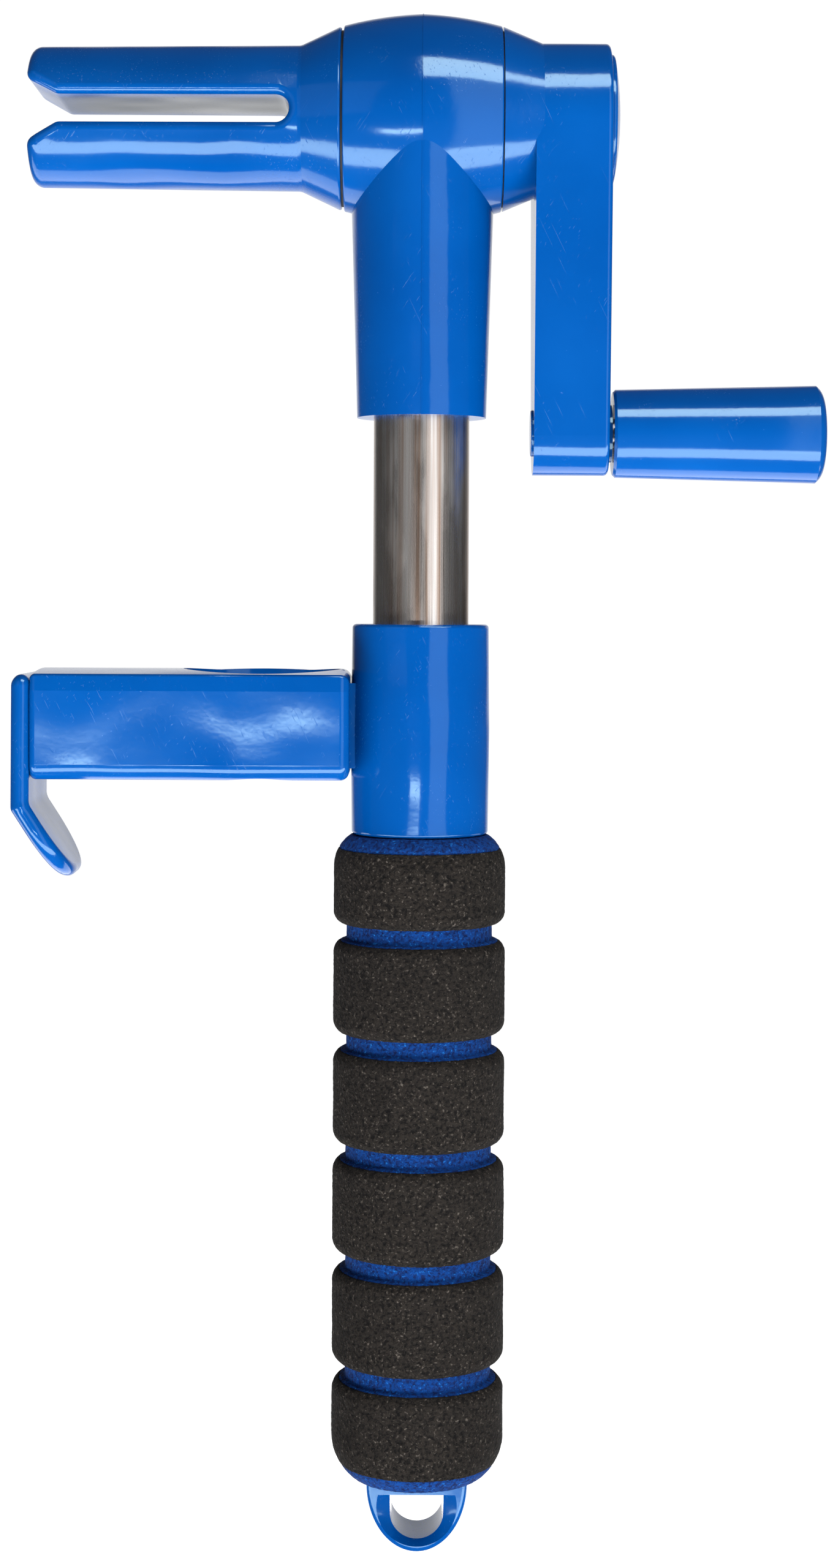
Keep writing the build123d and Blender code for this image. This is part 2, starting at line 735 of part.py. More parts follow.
with BuildPart() as guide_hook:
    with BuildSketch(Plane.YZ.offset(hook_outer_x)) as upright:
        with Locations((0, (hook_top + hook_bend) / 2)):
            Rectangle(2 * hook_half_depth, hook_top - hook_bend)
        fillet(upright.vertices().group_by(Axis.Y)[-1], hook_top_corner)
    extrude(amount=hook_thickness)
    with BuildSketch(tongue_plane) as tongue:
        with Locations((0, tongue_length / 2)):
            Rectangle(2 * hook_half_depth, tongue_length)
        fillet(tongue.vertices().group_by(Axis.Y)[-1], hook_tip_corner)
    extrude(amount=hook_thickness / 2, both=True)
    with BuildSketch(Plane.XZ):
        with Locations((hook_middle_x, hook_bend)):
            Circle(hook_thickness / 2)
    extrude(amount=hook_half_depth, both=True)
    inner_edges = guide_hook.edges().filter_by(Axis.Y)
    inner_edges = inner_edges.filter_by_position(Axis.X, arm_left_x - near, arm_left_x + near)
    fillet(inner_edges.sort_by(Axis.Z)[0], hook_inner_bend)
    top_edges = guide_hook.edges().filter_by(Axis.Y).group_by(Axis.Z)[-1]
    fillet(top_edges.sort_by(Axis.X)[0], hook_top_fillet)
    bend_low = hook_bend - hook_thickness
    bend_high = hook_bend + hook_thickness
    rims = []
    for edge in guide_hook.edges():
        middle = edge.center()
        straight = edge.geom_type == GeomType.LINE
        at_bend = straight and abs(middle.Y) < near and bend_low < middle.Z < bend_high
        through = straight and abs(edge.tangent_at(near).X) > (lean_x + lean_z) / 2
        if not at_bend and not through:
            rims.append(edge)
    fillet(rims, hook_edge_fillet)
    with Locations(*[seat.offset(screw_recess) for seat in hook_screw_seats]):
        Hole(hook_shank_radius, depth=2 * hook_thickness)
    with BuildSketch(*hook_screw_seats):
        Circle(screw_recess_radius)
    extrude(amount=2 * screw_recess, mode=Mode.SUBTRACT)
save("guide_hook", guide_hook)

hook_screws = pan_screw(hook_screw_seats, hook_shank_radius, hook_shank_length)
save("hook_screws", hook_screws)


# Foam grip: black bands over a blue sleeve, with grooves cut down into the sleeve

def foam_ring(high, low, high_shoulder, low_shoulder):
    # One ring of the foam's outline between two grooves, down to the groove's floor.
    with BuildPart() as ring:
        with BuildSketch(Plane.XZ):
            with BuildLine():
                top = (high_shoulder[0], high)
                top_out = (grip_radius, high - high_shoulder[1])
                low_out = (grip_radius, low + low_shoulder[1])
                foot = (low_shoulder[0], low)
                TangentArc(top_out, top, tangent=(0, 1))
                Line(top_out, low_out)
                TangentArc(low_out, foot, tangent=(0, -1))
                Polyline(foot, (pole_radius, low), (pole_radius, high), top)
            make_face()
        revolve(axis=Axis.Z)
    return ring.part


def foam_joint(high, low, high_radius, low_radius):
    # The blue foam under one band: a cone between these two radii.
    with BuildPart() as cone:
        with BuildSketch(Plane.XZ):
            with BuildLine():
                Polyline((0, low), (low_radius, low), (high_radius, high), (0, high), close=True)
            make_face()
        revolve(axis=Axis.Z)
    return cone.part


grooves = [groove_first - index * groove_pitch for index in range(band_count - 1)]
highs = [grip_top] + [groove - groove_width / 2 for groove in grooves]
lows = [groove + groove_width / 2 for groove in grooves] + [grip_bottom]
band_corner = grip_radius - groove_radius
groove_corner = (groove_radius, band_corner)
top_corner = (top_shoulder_radius, top_shoulder_length)
bottom_corner = (bottom_shoulder_radius, bottom_shoulder_length)
rings = [
    foam_ring(
        highs[index],
        lows[index],
        top_corner if index == 0 else groove_corner,
        bottom_corner if index == band_count - 1 else groove_corner,
    )
    for index in range(band_count)
]

joints = [
    foam_joint(
        highs[index],
        lows[index],
        top_joint_radius if index == 0 else foam_joint_radius,
        bottom_joint_radius if index == band_count - 1 else groove_radius,
    )
    for index in range(band_count)
]

for index in range(band_count):
    with BuildPart() as grip_band:
        add(rings[index])
        add(joints[index], mode=Mode.SUBTRACT)
    save(f"grip_band_{index + 1}", grip_band)

with BuildPart() as grip_core:
    for index in range(band_count):
        add(rings[index] & joints[index])
    with BuildSketch(Plane.XY.offset(lows[-1] + band_corner)):
        Circle(groove_radius)
    extrude(amount=highs[0] - lows[-1] - 2 * band_corner)
    with Locations(Plane.XY.offset(grip_top)):
        Hole(pole_radius, depth=grip_top - grip_bottom)
save("grip_core", grip_core)

# End plug with the hanging loop, and its cross pin

loop_height = grip_bottom - loop_tip
eye_low_centre = loop_eye_bottom + loop_eye_radius


def eye_sketch(depth):
    # U-shaped eye at this depth: straight sides down to a half circle.
    with BuildSketch(Plane.XZ.offset(depth)) as outline:
        with BuildLine():
            left = Line((-loop_eye_radius, loop_eye_top), (-loop_eye_radius, eye_low_centre))
            foot = ThreePointArc(left @ 1, (0, loop_eye_bottom), (loop_eye_radius, eye_low_centre))
            Polyline(foot @ 1, (loop_eye_radius, loop_eye_top), left @ 0)
        make_face()
    return outline.sketch


def rim_sketch(depth):
    # The eye's wider outline at the loop's face.
    with BuildSketch(Plane.XZ.offset(depth)) as outline:
        with BuildLine():
            rim = ThreePointArc(
                (-loop_bevel_half_width, loop_eye_top),
                (0, loop_bevel_bottom),
                (loop_bevel_half_width, loop_eye_top),
            )
            Line(rim @ 1, rim @ 0)
        make_face()
    return outline.sketch


with BuildPart() as end_plug:
    with BuildSketch(Plane.XY.offset(grip_bottom)):
        Circle(pole_radius - pole_wall)
    extrude(amount=plug_shank_top - grip_bottom)
    chamfer(end_plug.edges().sort_by(Axis.Z)[-1], plug_shank_chamfer)
    with BuildSketch(Plane.XZ):
        with BuildLine():
            curve = EllipticalCenterArc((0, grip_bottom), loop_half_width, loop_height, 180, arc_size=180)
            Line(curve @ 1, curve @ 0)
        make_face()
    extrude(amount=loop_half_depth, both=True)
    fillet(end_plug.edges().filter_by(GeomType.ELLIPSE), loop_edge_fillet)
    with BuildSketch(Plane.XY.offset(grip_bottom)):
        Circle(flange_rim_radius)
    extrude(amount=flange_bottom - grip_bottom)
    extrude(eye_sketch(0), amount=2 * loop_half_depth, both=True, mode=Mode.SUBTRACT)
    for side in (-1, 1):
        rim = rim_sketch(side * (loop_half_depth + running_clearance))
        loft([rim, eye_sketch(side * (loop_half_depth - loop_bevel_depth))], mode=Mode.SUBTRACT)
    with Locations(facing_x(pole_radius, plug_pin_height)):
        Hole(plug_pin_radius, depth=2 * pole_radius)
save("end_plug", end_plug)

plug_pin = ring_along_x(
    -plug_pin_half_length, plug_pin_half_length, plug_pin_radius, height=plug_pin_height
)
save("plug_pin", plug_pin)
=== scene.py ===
import json
import math

import bpy
import bmesh
from mathutils import Euler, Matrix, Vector


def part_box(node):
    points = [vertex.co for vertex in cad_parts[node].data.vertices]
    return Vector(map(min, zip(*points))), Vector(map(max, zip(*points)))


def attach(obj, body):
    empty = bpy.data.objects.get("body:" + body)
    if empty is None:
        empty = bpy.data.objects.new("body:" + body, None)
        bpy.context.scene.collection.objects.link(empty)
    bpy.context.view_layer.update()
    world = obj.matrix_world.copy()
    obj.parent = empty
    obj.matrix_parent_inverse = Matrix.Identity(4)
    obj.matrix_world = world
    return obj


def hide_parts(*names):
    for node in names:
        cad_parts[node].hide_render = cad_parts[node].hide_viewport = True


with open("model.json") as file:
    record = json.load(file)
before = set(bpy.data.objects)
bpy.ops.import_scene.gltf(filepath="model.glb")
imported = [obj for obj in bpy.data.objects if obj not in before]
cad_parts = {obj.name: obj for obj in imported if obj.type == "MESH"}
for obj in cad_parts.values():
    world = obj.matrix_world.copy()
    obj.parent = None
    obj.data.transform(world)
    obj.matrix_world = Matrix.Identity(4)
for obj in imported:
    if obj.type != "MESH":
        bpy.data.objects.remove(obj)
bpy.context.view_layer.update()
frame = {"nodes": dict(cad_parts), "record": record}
nodes = frame["nodes"]
scene = bpy.context.scene
print("frame loaded:", len(nodes), "nodes")


class Wire:
    def __init__(self, graph, socket):
        self.graph = graph
        self.socket = socket

    def maths(self, operation, first, second):
        return self.graph.put("ShaderNodeMath", {"operation": operation}, {0: first, 1: second})

    def __add__(self, other):
        return self.maths("ADD", self, other)

    def __radd__(self, other):
        return self.maths("ADD", other, self)

    def __sub__(self, other):
        return self.maths("SUBTRACT", self, other)

    def __rsub__(self, other):
        return self.maths("SUBTRACT", other, self)

    def __mul__(self, other):
        return self.maths("MULTIPLY", self, other)

    def __rmul__(self, other):
        return self.maths("MULTIPLY", other, self)

    def __truediv__(self, other):
        return self.maths("DIVIDE", self, other)

    def __rtruediv__(self, other):
        return self.maths("DIVIDE", other, self)

    def __gt__(self, other):
        return self.maths("GREATER_THAN", self, other)


class Graph:
    def __init__(self, tree):
        self.tree = tree
        self.tree.nodes.clear()

    def put(self, kind, settings=None, values=None, out=0):
        made = self.tree.nodes.new(kind)
        for key, value in (settings or {}).items():
            if key == "stops":  # a colour ramp's positions and colours
                ramp = made.color_ramp
                while len(ramp.elements) < len(value):
                    ramp.elements.new(0.5)
                for element, (place, colour) in zip(ramp.elements, value):
                    element.position = place
                    element.color = colour
            else:
                setattr(made, key, value)
        for key, value in (values or {}).items():
            if isinstance(value, Wire):
                self.tree.links.new(value.socket, made.inputs[key])
            else:
                made.inputs[key].default_value = value
        return Wire(self, made.outputs[out]) if out is not None else made

    def mixColour(self, factor, first, second, blend="MIX"):
        return self.put("ShaderNodeMix", {"data_type": "RGBA", "blend_type": blend},
                        {0: factor, 6: first, 7: second}, 2)

    def noise(self, place, size, detail=2.0, roughness=0.5, distortion=0.0):
        return self.put("ShaderNodeTexNoise", {}, {"Vector": place, "Scale": 1.0 / size, "Detail": detail,
                                                   "Roughness": roughness, "Distortion": distortion})

    def stretch(self, place, scale, turn=(0, 0, 0)):
        turned = self.put("ShaderNodeMapping", {}, {"Vector": place, "Rotation": turn})
        return self.put("ShaderNodeMapping", {}, {"Vector": turned, "Scale": scale})

    def ramp(self, value, low, high):  # 0 below low, 1 above high
        return self.put("ShaderNodeMapRange", {"clamp": True},
                        {"Value": value, "From Min": low, "From Max": high})

    def bump(self, height, distance, strength=1.0, under=None):
        values = {"Height": height, "Distance": distance, "Strength": strength}
        if under is not None:
            values["Normal"] = under
        return self.put("ShaderNodeBump", {}, values)


def newMaterial(name):
    material = bpy.data.materials.new(name)
    material.use_nodes = True
    graph = Graph(material.node_tree)
    place = graph.put("ShaderNodeTexCoord", out=3)
    return material, graph, place


def finishMaterial(graph, linked, fixed):
    values = dict(linked)
    values.update(fixed)
    surface = graph.put("ShaderNodeBsdfPrincipled", {}, values)
    graph.put("ShaderNodeOutputMaterial", {}, {"Surface": surface}, out=None)


def grey(value):
    return (value, value, value, 1)


mouldedBlue = {
    "colour": (0.0, 0.054, 0.232, 1),
    "deepColour": (0.0, 0.043, 0.195, 1),
    "cloudSize": 0.045,  # slow drift of the pigment
    "speckSize": 0.0011,
    "speckCut": 0.74,
    "speckEdge": 0.05,
    "speckBlend": 0.20,
    "speckRoughness": 0.2,
    "scratchLength": 0.022,
    "scratchWidth": 0.00035,
    "scratchCut": 0.71,
    "scratchEdge": 0.03,
    "scratchTurns": ((0.3, 0.9, 0.5), (1.2, -0.5, 2.1)),  # two directions of hairline scratches
    "patchSize": 0.017,
    "wornBlend": 0.10,
    "wornColour": (0.06, 0.13, 0.38, 1),
    "roughness": 0.10,
    "cloudRoughness": 0.05,
    "scratchRoughness": 0.22,
    "sinkSize": 0.030,
    "sinkDepth": 0.00010,
    "peelSize": 0.0016,
    "peelDepth": 0.000001,
    "specular": 0.5,
    "tint": (0.62, 0.95, 1.0, 1),
}


def mouldedPlastic(name, finish, scuffs=0.0, sink=1.0):
    material, graph, place = newMaterial(name)
    cloud = graph.noise(place, finish["cloudSize"], 3.0, 0.55)
    fine = graph.noise(place, finish["speckSize"], 2.0, 0.6)
    specks = graph.ramp(fine, finish["speckCut"], finish["speckCut"] + finish["speckEdge"])
    squeeze = finish["scratchLength"] / finish["scratchWidth"]
    scratches = None
    for turn in finish["scratchTurns"]:
        along = graph.stretch(place, (1, squeeze, squeeze), turn)
        field = graph.noise(along, finish["scratchLength"], 1.0)
        hair = graph.ramp(field, finish["scratchCut"], finish["scratchCut"] + finish["scratchEdge"])
        scratches = hair if scratches is None else scratches + hair
    patches = graph.ramp(graph.noise(place, finish["patchSize"], 2.0), 0.45 - 0.15 * scuffs, 0.62)
    worn = scratches * patches
    colour = graph.mixColour(graph.ramp(cloud, 0.3, 0.7), finish["deepColour"], finish["colour"])
    colour = graph.mixColour(specks * finish["speckBlend"] + worn * finish["wornBlend"], colour,
                             finish["wornColour"])
    rough = finish["roughness"] + graph.ramp(cloud, 0.35, 0.75) * finish["cloudRoughness"]
    rough = rough + worn * finish["scratchRoughness"] + specks * finish["speckRoughness"]
    slow = graph.noise(place, finish["sinkSize"], 1.0, 0.4)
    peel = graph.noise(place, finish["peelSize"], 1.0, 0.5)
    normal = graph.bump(slow, finish["sinkDepth"] * sink * 10)
    normal = graph.bump(peel, finish["peelDepth"] * 10, 1.0, normal)
    normal = graph.bump(1 - worn, 0.00003, 0.5, normal)
    finishMaterial(graph, {"Base Color": colour, "Roughness": rough, "Normal": normal},
                   {"Specular IOR Level": finish["specular"], "Specular Tint": finish["tint"]})
    return material


brushedTube = {
    "bright": (0.88, 0.86, 0.83, 1),
    # colour of the painted reflection streaks: brown surroundings mirrored in the pole, painted into the base
    # colour
    "paintedBrownReflection": (0.42, 0.26, 0.17, 1),
    "streakWidth": 0.0022,
    "lineWidth": 0.00022,
    "roughness": 0.20,
}


def streakedSteel(name, finish):
    material, graph, place = newMaterial(name)
    wide = graph.noise(graph.stretch(place, (1, 1, 0.012)), finish["streakWidth"], 3.0, 0.6)
    hairs = graph.noise(graph.stretch(place, (1, 1, 0.006)), finish["lineWidth"], 2.0, 0.6)
    smear = graph.noise(graph.stretch(place, (1, 1, 0.35)), 0.012, 3.0, 0.6)
    # painted reflection: brown vertical streaks laid into the steel's base colour along the pole
    colour = graph.mixColour(graph.ramp(wide, 0.42, 0.66) * 0.85, finish["bright"], finish["paintedBrownReflection"])
    colour = graph.mixColour(graph.ramp(hairs, 0.35, 0.75) * 0.35, colour, (0.16, 0.14, 0.12, 1))
    rough = finish["roughness"] + graph.ramp(hairs, 0.3, 0.8) * 0.14 + graph.ramp(smear, 0.45, 0.7) * 0.12
    normal = graph.bump(hairs, 0.00004, 0.35)
    finishMaterial(graph, {"Base Color": colour, "Roughness": rough, "Normal": normal}, {"Metallic": 1.0})
    return material


smallSteel = {"colour": (0.56, 0.56, 0.57, 1), "dark": (0.34, 0.33, 0.33, 1), "roughness": 0.28}


def turnedSteel(name, finish):
    material, graph, place = newMaterial(name)
    marks = graph.noise(place, 0.0009, 3.0, 0.6)
    stain = graph.noise(place, 0.004, 2.0, 0.5)
    colour = graph.mixColour(graph.ramp(stain, 0.4, 0.7) * 0.5, finish["colour"], finish["dark"])
    rough = finish["roughness"] + graph.ramp(marks, 0.35, 0.75) * 0.2
    normal = graph.bump(marks, 0.00002, 0.4)
    finishMaterial(graph, {"Base Color": colour, "Roughness": rough, "Normal": normal},
                   {"Metallic": 1.0})
    return material


acetal = {"colour": (0.80, 0.80, 0.76, 1), "shade": (0.66, 0.66, 0.62, 1), "roughness": 0.42}
seamRing = {"colour": (0.012, 0.013, 0.018, 1), "shade": (0.006, 0.006, 0.008, 1), "roughness": 0.5}


def paleAcetal(name, finish):
    material, graph, place = newMaterial(name)
    cloud = graph.noise(place, 0.006, 3.0, 0.5)
    colour = graph.mixColour(graph.ramp(cloud, 0.35, 0.7), finish["colour"], finish["shade"])
    rough = finish["roughness"] + cloud * 0.15
    normal = graph.bump(cloud, 0.00003, 0.3)
    finishMaterial(graph, {"Base Color": colour, "Roughness": rough, "Normal": normal},
                   {"Specular IOR Level": 0.4})
    return material


# the pit colour is partly the foam's grain and partly painted shade in the recessed cells of the bump; it
# also darkens broad random blotches
blackCells = {"body": (0.0125, 0.0105, 0.0085, 1), "pitShadeAndBlotch": (0.001, 0.0009, 0.0008, 1),
              "paintedGlint": (0.075, 0.066, 0.056, 1),
              "grain": 0.00095, "depth": 0.0012, "speckCut": 0.60}
blueCells = {"body": (0.0, 0.032, 0.165, 1), "pitShadeAndBlotch": (0.0, 0.007, 0.05, 1), "paintedGlint": (0.01, 0.14, 0.45, 1),
             "grain": 0.00095, "depth": 0.0010, "speckCut": 0.62}


def granularFoam(name, finish):
    material, graph, place = newMaterial(name)
    cells = graph.noise(place, finish["grain"], 3.0, 0.62, 0.4)
    coarse = graph.noise(place, finish["grain"] * 3.2, 2.0, 0.5)
    glints = graph.noise(place, finish["grain"] * 0.72, 1.0, 0.5)
    wide = graph.noise(place, 0.014, 2.0, 0.5)
    # painted shade: the low cells of the bump get the dark pit colour
    colour = graph.mixColour(graph.ramp(cells, 0.36, 0.56), finish["pitShadeAndBlotch"], finish["body"])
    # painted highlight: lighter glints put only on the raised cells
    specks = graph.ramp(glints, finish["speckCut"], finish["speckCut"] + 0.10) * graph.ramp(cells, 0.45, 0.62)
    colour = graph.mixColour(specks, colour, finish["paintedGlint"])
    # broad random darker blotches in the same pit colour
    colour = graph.mixColour(graph.ramp(wide, 0.3, 0.7) * 0.22, colour, finish["pitShadeAndBlotch"])
    rough = 0.86 + graph.ramp(cells, 0.4, 0.7) * 0.12
    normal = graph.bump(cells + coarse * 0.5, finish["depth"], 0.9)
    finishMaterial(graph, {"Base Color": colour, "Roughness": rough, "Normal": normal},
                   {"Specular IOR Level": 0.15})
    return material


blueSmooth = mouldedPlastic("blueMoulded", mouldedBlue)
blueScuffed = mouldedPlastic("blueMouldedScuffed", mouldedBlue, 1.0, 2.2)
poleSteel = streakedSteel("brushedPoleSteel", brushedTube)
smallParts = turnedSteel("turnedSmallSteel", smallSteel)
whiteAcetal = paleAcetal("paleAcetal", acetal)
darkAcetal = paleAcetal("darkAcetal", seamRing)
blackFoam = granularFoam("blackCellFoam", blackCells)
blueFoam = granularFoam("blueCellFoam", blueCells)
print("materials made")

cadFinish = {
    "blue_plastic": blueSmooth,
    "pole_steel": poleSteel,
    "steel_hardware": smallParts,
    "white_acetal": whiteAcetal,
    "dark_acetal": darkAcetal,
    "blue_foam": blueFoam,
    "black_foam": blackFoam,
}
for part in frame["record"]["subparts"]:
    piece = nodes[part["node"]]
    chosen = cadFinish[part["material_slot"]]
    if part["node"] in ("guide_arm", "winding_fork"):
        chosen = blueScuffed
    for index in range(len(piece.material_slots)):
        piece.material_slots[index].material = chosen
print("CAD nodes dressed")


# foam grip, in metres: black bands over a blue sleeve
grip = {
    "outer": 0.02275,
    "inner": 0.01273,
    "groove": 0.0193,
    "jointTop": 0.0209,
    "firstJointTop": 0.0216,
    "lastJointBottom": 0.0204,
    "firstGroove": -0.1089,
    "pitch": 0.029,
    "grooveWidth": 0.004,
    "bands": 6,
    "topRadius": 0.0182,
    "topLength": 0.0085,
    "bottomRadius": 0.0170,
    "bottomLength": 0.0110,
    "segments": 420,
    "bandRows": 150,
    "sleeveRows": 440,
    "grainDepth": 0.00016,
    "grainSize": 0.0009,
    "dentDepth": 0.00018,
    "dentSize": 0.011,
    "seed": 7,
}


def shoulderPoints(endRadius, length, sideZ, up, steps=14):
    # arc from the straight side in to the end radius, tangent to the side
    inward = grip["outer"] - endRadius
    bend = (inward ** 2 + length ** 2) / (2 * inward)
    sweep = math.asin(min(1.0, length / bend))
    centre = grip["outer"] - bend
    return [(centre + bend * math.cos(sweep * i / steps), sideZ + up * bend * math.sin(sweep * i / steps))
            for i in range(steps + 1)]


def bandShapes():
    # the turned outline of each ring, top to bottom, and the joint's radius along it
    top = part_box("grip_core")[1].z
    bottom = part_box("grip_core")[0].z
    corner = grip["outer"] - grip["groove"]
    shapes = []
    for index in range(grip["bands"]):
        grooveAbove = grip["firstGroove"] - (index - 1) * grip["pitch"]
        high = top if index == 0 else grooveAbove - grip["grooveWidth"] / 2
        last = index == grip["bands"] - 1
        low = bottom if last else grip["firstGroove"] - index * grip["pitch"] + grip["grooveWidth"] / 2
        highEnd = (grip["topRadius"], grip["topLength"]) if index == 0 else (grip["groove"], corner)
        lowEnd = (grip["bottomRadius"], grip["bottomLength"]) if last else (grip["groove"], corner)
        upper = shoulderPoints(highEnd[0], highEnd[1], high - highEnd[1], 1)[::-1]
        lower = shoulderPoints(lowEnd[0], lowEnd[1], low + lowEnd[1], -1)
        shapes.append({"high": high, "low": low, "outline": upper + lower,
                       "highJoint": grip["firstJointTop"] if index == 0 else grip["jointTop"],
                       "lowJoint": grip["lastJointBottom"] if last else grip["groove"]})
    return shapes


def jointRadius(shape, z):
    part = (z - shape["low"]) / (shape["high"] - shape["low"])
    return shape["lowJoint"] + (shape["highJoint"] - shape["lowJoint"]) * part


def profileObject(name, points):
    mesh = bpy.data.meshes.new(name)
    corners = [(radius, 0, z) for radius, z in points]
    mesh.from_pydata(corners, [(i, i + 1) for i in range(len(points) - 1)], [])
    made = bpy.data.objects.new(name, mesh)
    scene.collection.objects.link(made)
    return made


def turningTree():
    # turns the object's own line about Z, then roughens the outer skin
    tree = bpy.data.node_groups.new("turnedFoam", "GeometryNodeTree")
    sockets = {}
    for name, kind in (("Geometry", "NodeSocketGeometry"), ("Segments", "NodeSocketInt"),
                       ("Rows", "NodeSocketInt"),
                       ("Grain Depth", "NodeSocketFloat"), ("Grain Size", "NodeSocketFloat"),
                       ("Dent Depth", "NodeSocketFloat"), ("Dent Size", "NodeSocketFloat"),
                       ("Inner Radius", "NodeSocketFloat"), ("Seed", "NodeSocketInt"),
                       ("Finish", "NodeSocketMaterial")):
        sockets[name] = tree.interface.new_socket(name, in_out="INPUT", socket_type=kind).identifier
    tree.interface.new_socket("Geometry", in_out="OUTPUT", socket_type="NodeSocketGeometry")
    graph = Graph(tree)
    given = tree.nodes.new("NodeGroupInput")
    wires = {name: Wire(graph, given.outputs[name]) for name in sockets}
    line = graph.put("GeometryNodeMeshToCurve", {}, {"Mesh": wires["Geometry"]})
    sheet = graph.put("GeometryNodeMeshGrid", {}, {"Size X": 1.0, "Size Y": 1.0,
                                                   "Vertices X": wires["Segments"],
                                                   "Vertices Y": wires["Rows"]})
    place = graph.put("GeometryNodeInputPosition")
    acrossNode = graph.put("ShaderNodeSeparateXYZ", {}, {0: place}, None)
    turn = (Wire(graph, acrossNode.outputs[0]) + 0.5) * (2 * math.pi)
    down = Wire(graph, acrossNode.outputs[1]) + 0.5
    sampled = graph.put("GeometryNodeSampleCurve", {"mode": "FACTOR", "use_all_curves": True},
                        {"Curves": line, "Factor": down}, 1)
    sampledNode = graph.put("ShaderNodeSeparateXYZ", {}, {0: sampled}, None)
    radius = Wire(graph, sampledNode.outputs[0])
    sine = graph.put("ShaderNodeMath", {"operation": "SINE"}, {0: turn})
    cosine = graph.put("ShaderNodeMath", {"operation": "COSINE"}, {0: turn})
    onSkin = graph.put("ShaderNodeCombineXYZ", {}, {0: radius * cosine, 1: radius * sine,
                                                    2: Wire(graph, sampledNode.outputs[2])})
    turned = graph.put("GeometryNodeSetPosition", {}, {"Geometry": sheet, "Position": onSkin})
    closed = graph.put("GeometryNodeMergeByDistance", {}, {"Geometry": turned, "Distance": 0.000002})
    at = graph.put("GeometryNodeInputPosition")
    shifted = graph.put("ShaderNodeVectorMath", {"operation": "ADD"}, {0: at, 1: wires["Seed"]})
    grain = graph.put("ShaderNodeTexNoise", {},
                      {"Vector": shifted, "Scale": 1 / wires["Grain Size"], "Detail": 2.0})
    dents = graph.put("ShaderNodeTexNoise", {},
                      {"Vector": shifted, "Scale": 1 / wires["Dent Size"], "Detail": 1.0})
    rise = (grain - 0.5) * wires["Grain Depth"] * 2 + (dents - 0.5) * wires["Dent Depth"] * 2
    flat = graph.put("ShaderNodeVectorMath", {"operation": "MULTIPLY"}, {0: at, 1: (1, 1, 0)})
    fromAxis = graph.put("ShaderNodeVectorMath", {"operation": "LENGTH"}, {0: flat}, 1)
    outside = fromAxis > wires["Inner Radius"]
    push = graph.put("ShaderNodeVectorMath", {"operation": "SCALE"},
                     {0: graph.put("GeometryNodeInputNormal"), "Scale": rise * outside})
    rough = graph.put("GeometryNodeSetPosition", {}, {"Geometry": closed, "Offset": push})
    smooth = graph.put("GeometryNodeSetShadeSmooth", {}, {"Geometry": rough})
    real = graph.put("GeometryNodeRealizeInstances", {}, {"Geometry": smooth})
    painted = graph.put("GeometryNodeSetMaterial", {}, {"Geometry": real, "Material": wires["Finish"]})
    graph.put("NodeGroupOutput", {}, {"Geometry": painted}, None)
    return tree, sockets


def bakeTurned(piece, tree, sockets, values):
    modifier = piece.modifiers.new("turning", "NODES")
    modifier.node_group = tree
    for name, value in values.items():
        modifier[sockets[name]] = value
    bpy.context.view_layer.update()
    shown = piece.evaluated_get(bpy.context.evaluated_depsgraph_get())
    baked = bpy.data.meshes.new_from_object(shown)
    piece.modifiers.remove(modifier)
    line = piece.data
    piece.data = baked
    bpy.data.meshes.remove(line)
    check = bmesh.new()
    check.from_mesh(baked)
    if check.calc_volume(signed=True) < 0:
        bmesh.ops.reverse_faces(check, faces=check.faces)
        check.to_mesh(baked)
    openEdges = sum(1 for edge in check.edges if len(edge.link_faces) != 2)
    print(piece.name, "faces", len(baked.polygons), "open edges", openEdges)
    check.free()
    baked.name = piece.name


foamTree, foamSockets = turningTree()
common = {"Segments": grip["segments"], "Grain Depth": grip["grainDepth"], "Grain Size": grip["grainSize"],
          "Dent Depth": grip["dentDepth"], "Dent Size": grip["dentSize"],
          "Inner Radius": grip["inner"] + 0.001, "Seed": grip["seed"]}
shapes = bandShapes()
sleeveLine = [(grip["inner"], shapes[0]["high"])]
for index, shape in enumerate(shapes):
    skin = [point for point in shape["outline"] if point[0] >= jointRadius(shape, point[1])]
    under = [point for point in shape["outline"] if point[0] < jointRadius(shape, point[1])]
    above = [point for point in under if point[1] > skin[0][1]]
    below = [point for point in under if point[1] < skin[-1][1]]
    first, last = skin[0], skin[-1]
    back = [(jointRadius(shape, z), z) for z in (last[1], (first[1] + last[1]) / 2, first[1])]
    band = profileObject(f"foamBand{index + 1}", [back[2]] + skin + back[:1] + back[1:])
    bakeTurned(band, foamTree, foamSockets, {**common, "Rows": grip["bandRows"], "Finish": blackFoam})
    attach(band, "handle")
    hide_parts(f"grip_band_{index + 1}")
    sleeveLine += above + [back[2], back[1], back[0]] + below
sleeveLine += [(grip["inner"], shapes[-1]["low"]), (grip["inner"], shapes[0]["high"])]
sleeve = profileObject("foamSleeve", sleeveLine)
bakeTurned(sleeve, foamTree, foamSockets, {**common, "Rows": grip["sleeveRows"], "Finish": blueFoam})
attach(sleeve, "handle")
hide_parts("grip_core")
print("foam grip made")


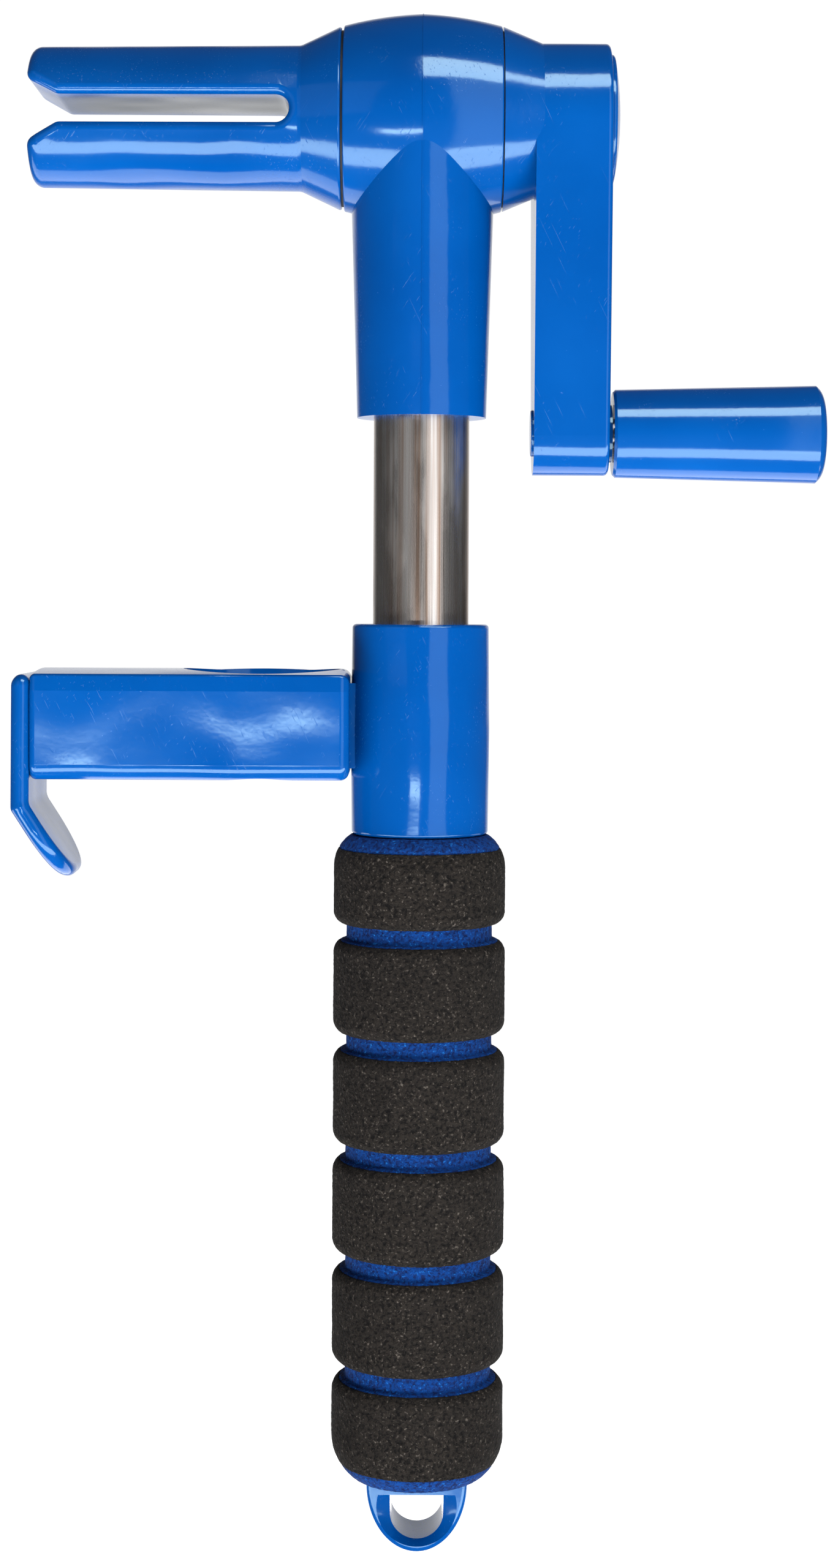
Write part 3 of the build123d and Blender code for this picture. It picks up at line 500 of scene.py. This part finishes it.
# stage and light
studio = {
    "floorHeight": -0.42,
    "floorRadius": 4.0,
    "floorSides": 64,
    "cameraGlow": 1.05,  # the backdrop as the camera sees it
    "floorGlow": 0.95,
    "backGlow": 0.9,  # what the plastic sees behind the object
    "frontGlow": 0.055,
    "overhead": {"at": (0.44, -0.68, 0.90), "size": (0.96, 0.52), "power": 20.0, "aim": (0.44, -0.68, 0.0)},
    "table": {"at": (0.0, -0.36, -0.405), "size": (1.7, 0.30), "power": 14.5, "aim": (0.0, -0.36, 1.0)},
    "backTable": {"at": (0.0, 0.32, -0.405), "size": (1.7, 0.40), "power": 5.5, "aim": (0.0, 0.32, 1.0)},
    "strip": {"at": (0.51, -0.76, 0.0), "size": (0.62, 1.6), "power": 4.1, "aim": (0.51, 0.0, 0.0)},
    "cloud": {"at": (-0.165, -0.80, -0.225), "size": (0.26, 0.07), "power": 1.0, "aim": (-0.07, 0.0, -0.13)},
    "fill": {"at": (-0.9, -1.1, 0.5), "size": (1.0, 1.0), "power": 0.8, "aim": (0.0, 0.0, 0.0)},
}


def areaLight(name, values):
    lamp = bpy.data.lights.new(name, "AREA")
    lamp.shape = "RECTANGLE"
    lamp.size, lamp.size_y = values["size"]
    lamp.energy = values["power"]
    lamp.color = values.get("colour", (1.0, 0.985, 1.0))
    made = bpy.data.objects.new(name, lamp)
    made.location = values["at"]
    way = Vector(values["aim"]) - Vector(values["at"])
    made.rotation_euler = way.to_track_quat("-Z", "Y").to_euler()
    made.visible_camera = False
    scene.collection.objects.link(made)


for name in ("overhead", "table", "backTable", "strip", "cloud", "fill"):
    areaLight(name + "Light", studio[name])

floorMesh = bpy.data.meshes.new("studioFloor")
turns = [math.tau * i / studio["floorSides"] for i in range(studio["floorSides"])]
rim = [(studio["floorRadius"] * math.cos(turn), studio["floorRadius"] * math.sin(turn), studio["floorHeight"])
       for turn in turns]
floorMesh.from_pydata(rim, [], [list(range(studio["floorSides"]))])
floor = bpy.data.objects.new("studioFloor", floorMesh)
scene.collection.objects.link(floor)
floorMaterial, floorGraph, floorPlace = newMaterial("paleFloor")
floorCloud = floorGraph.noise(floorPlace, 0.3, 2.0)
finishMaterial(floorGraph, {"Base Color": floorGraph.mixColour(floorCloud, grey(0.86), grey(0.82))},
               {"Roughness": 0.9, "Emission Color": grey(1.0), "Emission Strength": studio["floorGlow"]})
floor.data.materials.append(floorMaterial)
floor.visible_glossy = False  # the plastic mirrors only the lamps and the room

world = bpy.data.worlds.new("paleRoom")
scene.world = world
world.use_nodes = True
air = Graph(world.node_tree)
way = air.put("ShaderNodeTexCoord", out=0)
wayNode = air.put("ShaderNodeSeparateXYZ", {}, {0: way}, None)
behind = air.ramp(Wire(air, wayNode.outputs[1]), 0.80, 0.95)
glow = studio["frontGlow"] + behind * (studio["backGlow"] - studio["frontGlow"])
seen = air.put("ShaderNodeLightPath", out=0)
strength = seen * studio["cameraGlow"] + (1 - seen) * glow
backdrop = air.put("ShaderNodeBackground", {}, {"Color": grey(1), "Strength": strength})
air.put("ShaderNodeOutputWorld", {}, {"Surface": backdrop}, None)
scene.view_settings.view_transform = "Standard"
scene.view_settings.look = "None"

view = {
    "distance": 0.750,
    "lens": 64.7,
    "sensor": 36.0,
    "at": (-0.0006, -0.0207),  # across and up
    "shift": -0.118,
    "roll": 0.27,
}
cameraData = bpy.data.cameras.new("viewCamera")
cameraData.sensor_fit = "VERTICAL"
cameraData.sensor_height = view["sensor"]
cameraData.lens = view["lens"]
cameraData.shift_y = view["shift"]
cameraData.clip_start = 0.01
camera = bpy.data.objects.new("viewCamera", cameraData)
camera.location = (view["at"][0], -view["distance"], view["at"][1])
camera.rotation_euler = Euler((math.radians(90), math.radians(-view["roll"]), 0), "XYZ")
scene.collection.objects.link(camera)
scene.camera = camera
print("studio set")
